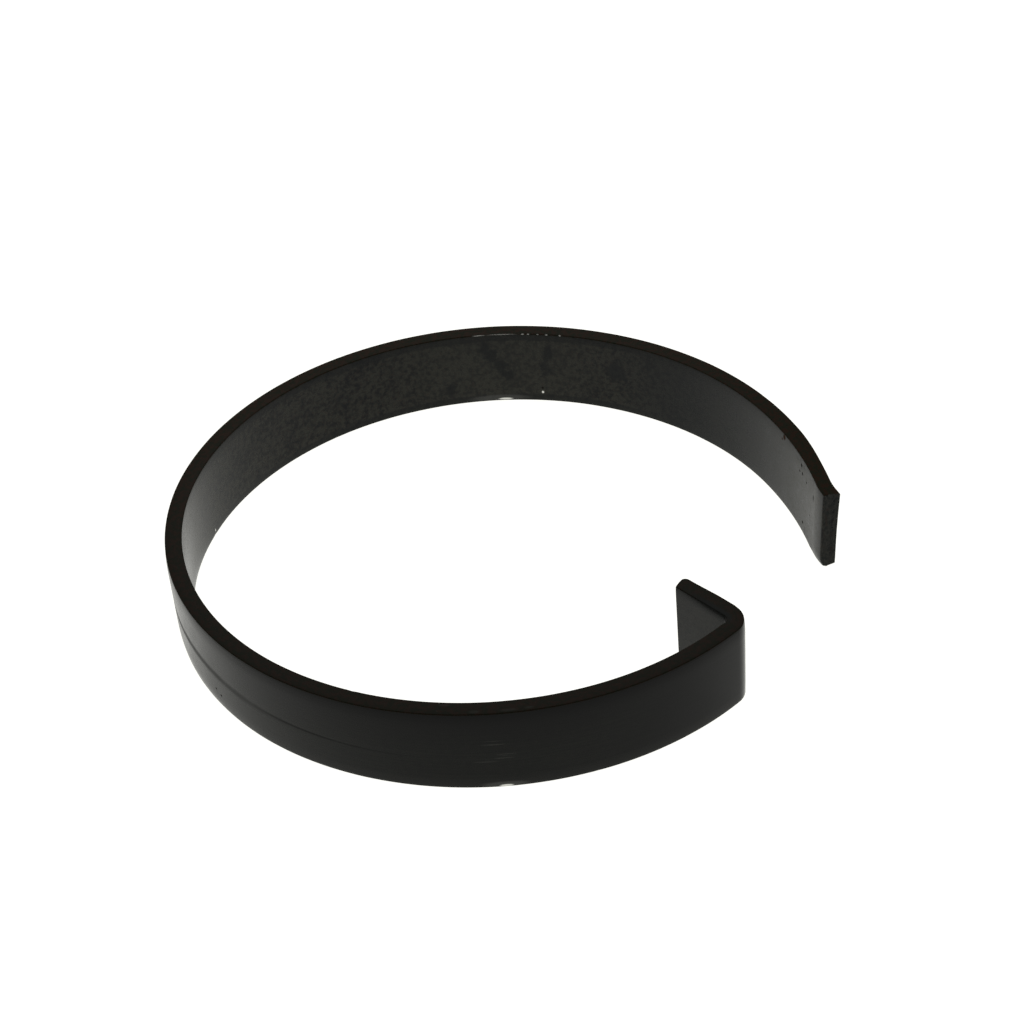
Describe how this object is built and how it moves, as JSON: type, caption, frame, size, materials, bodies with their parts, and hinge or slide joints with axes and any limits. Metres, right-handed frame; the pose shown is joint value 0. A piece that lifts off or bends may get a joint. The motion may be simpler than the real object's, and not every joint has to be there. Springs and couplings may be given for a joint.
{
  "type": "lock clip",
  "caption": "Open ring of flat spring steel strip coiled on edge, with a tang bent inwards at one end, that snaps into a groove to lock parts along an axis.",
  "frame": {"origin": "centre of the ring's main round stretch, in the plane of its lower narrow face", "axes": "+Z along the ring's axis, away from the surface it lies on; +X towards the place where the strip turns inwards; seen from +Z the strip runs anticlockwise from its free end to that bend, and the split lies on the +Y side of the tang"},
  "size_m": [0.0728, 0.073, 0.01],
  "materials": {
    "blackened_spring_steel": "dull dark oxide on rolled and hardened spring strip, browner on the narrow faces"
  },
  "bodies": {
    "root": {"clip_strip": "blackened_spring_steel"}
  },
  "joints": []
}
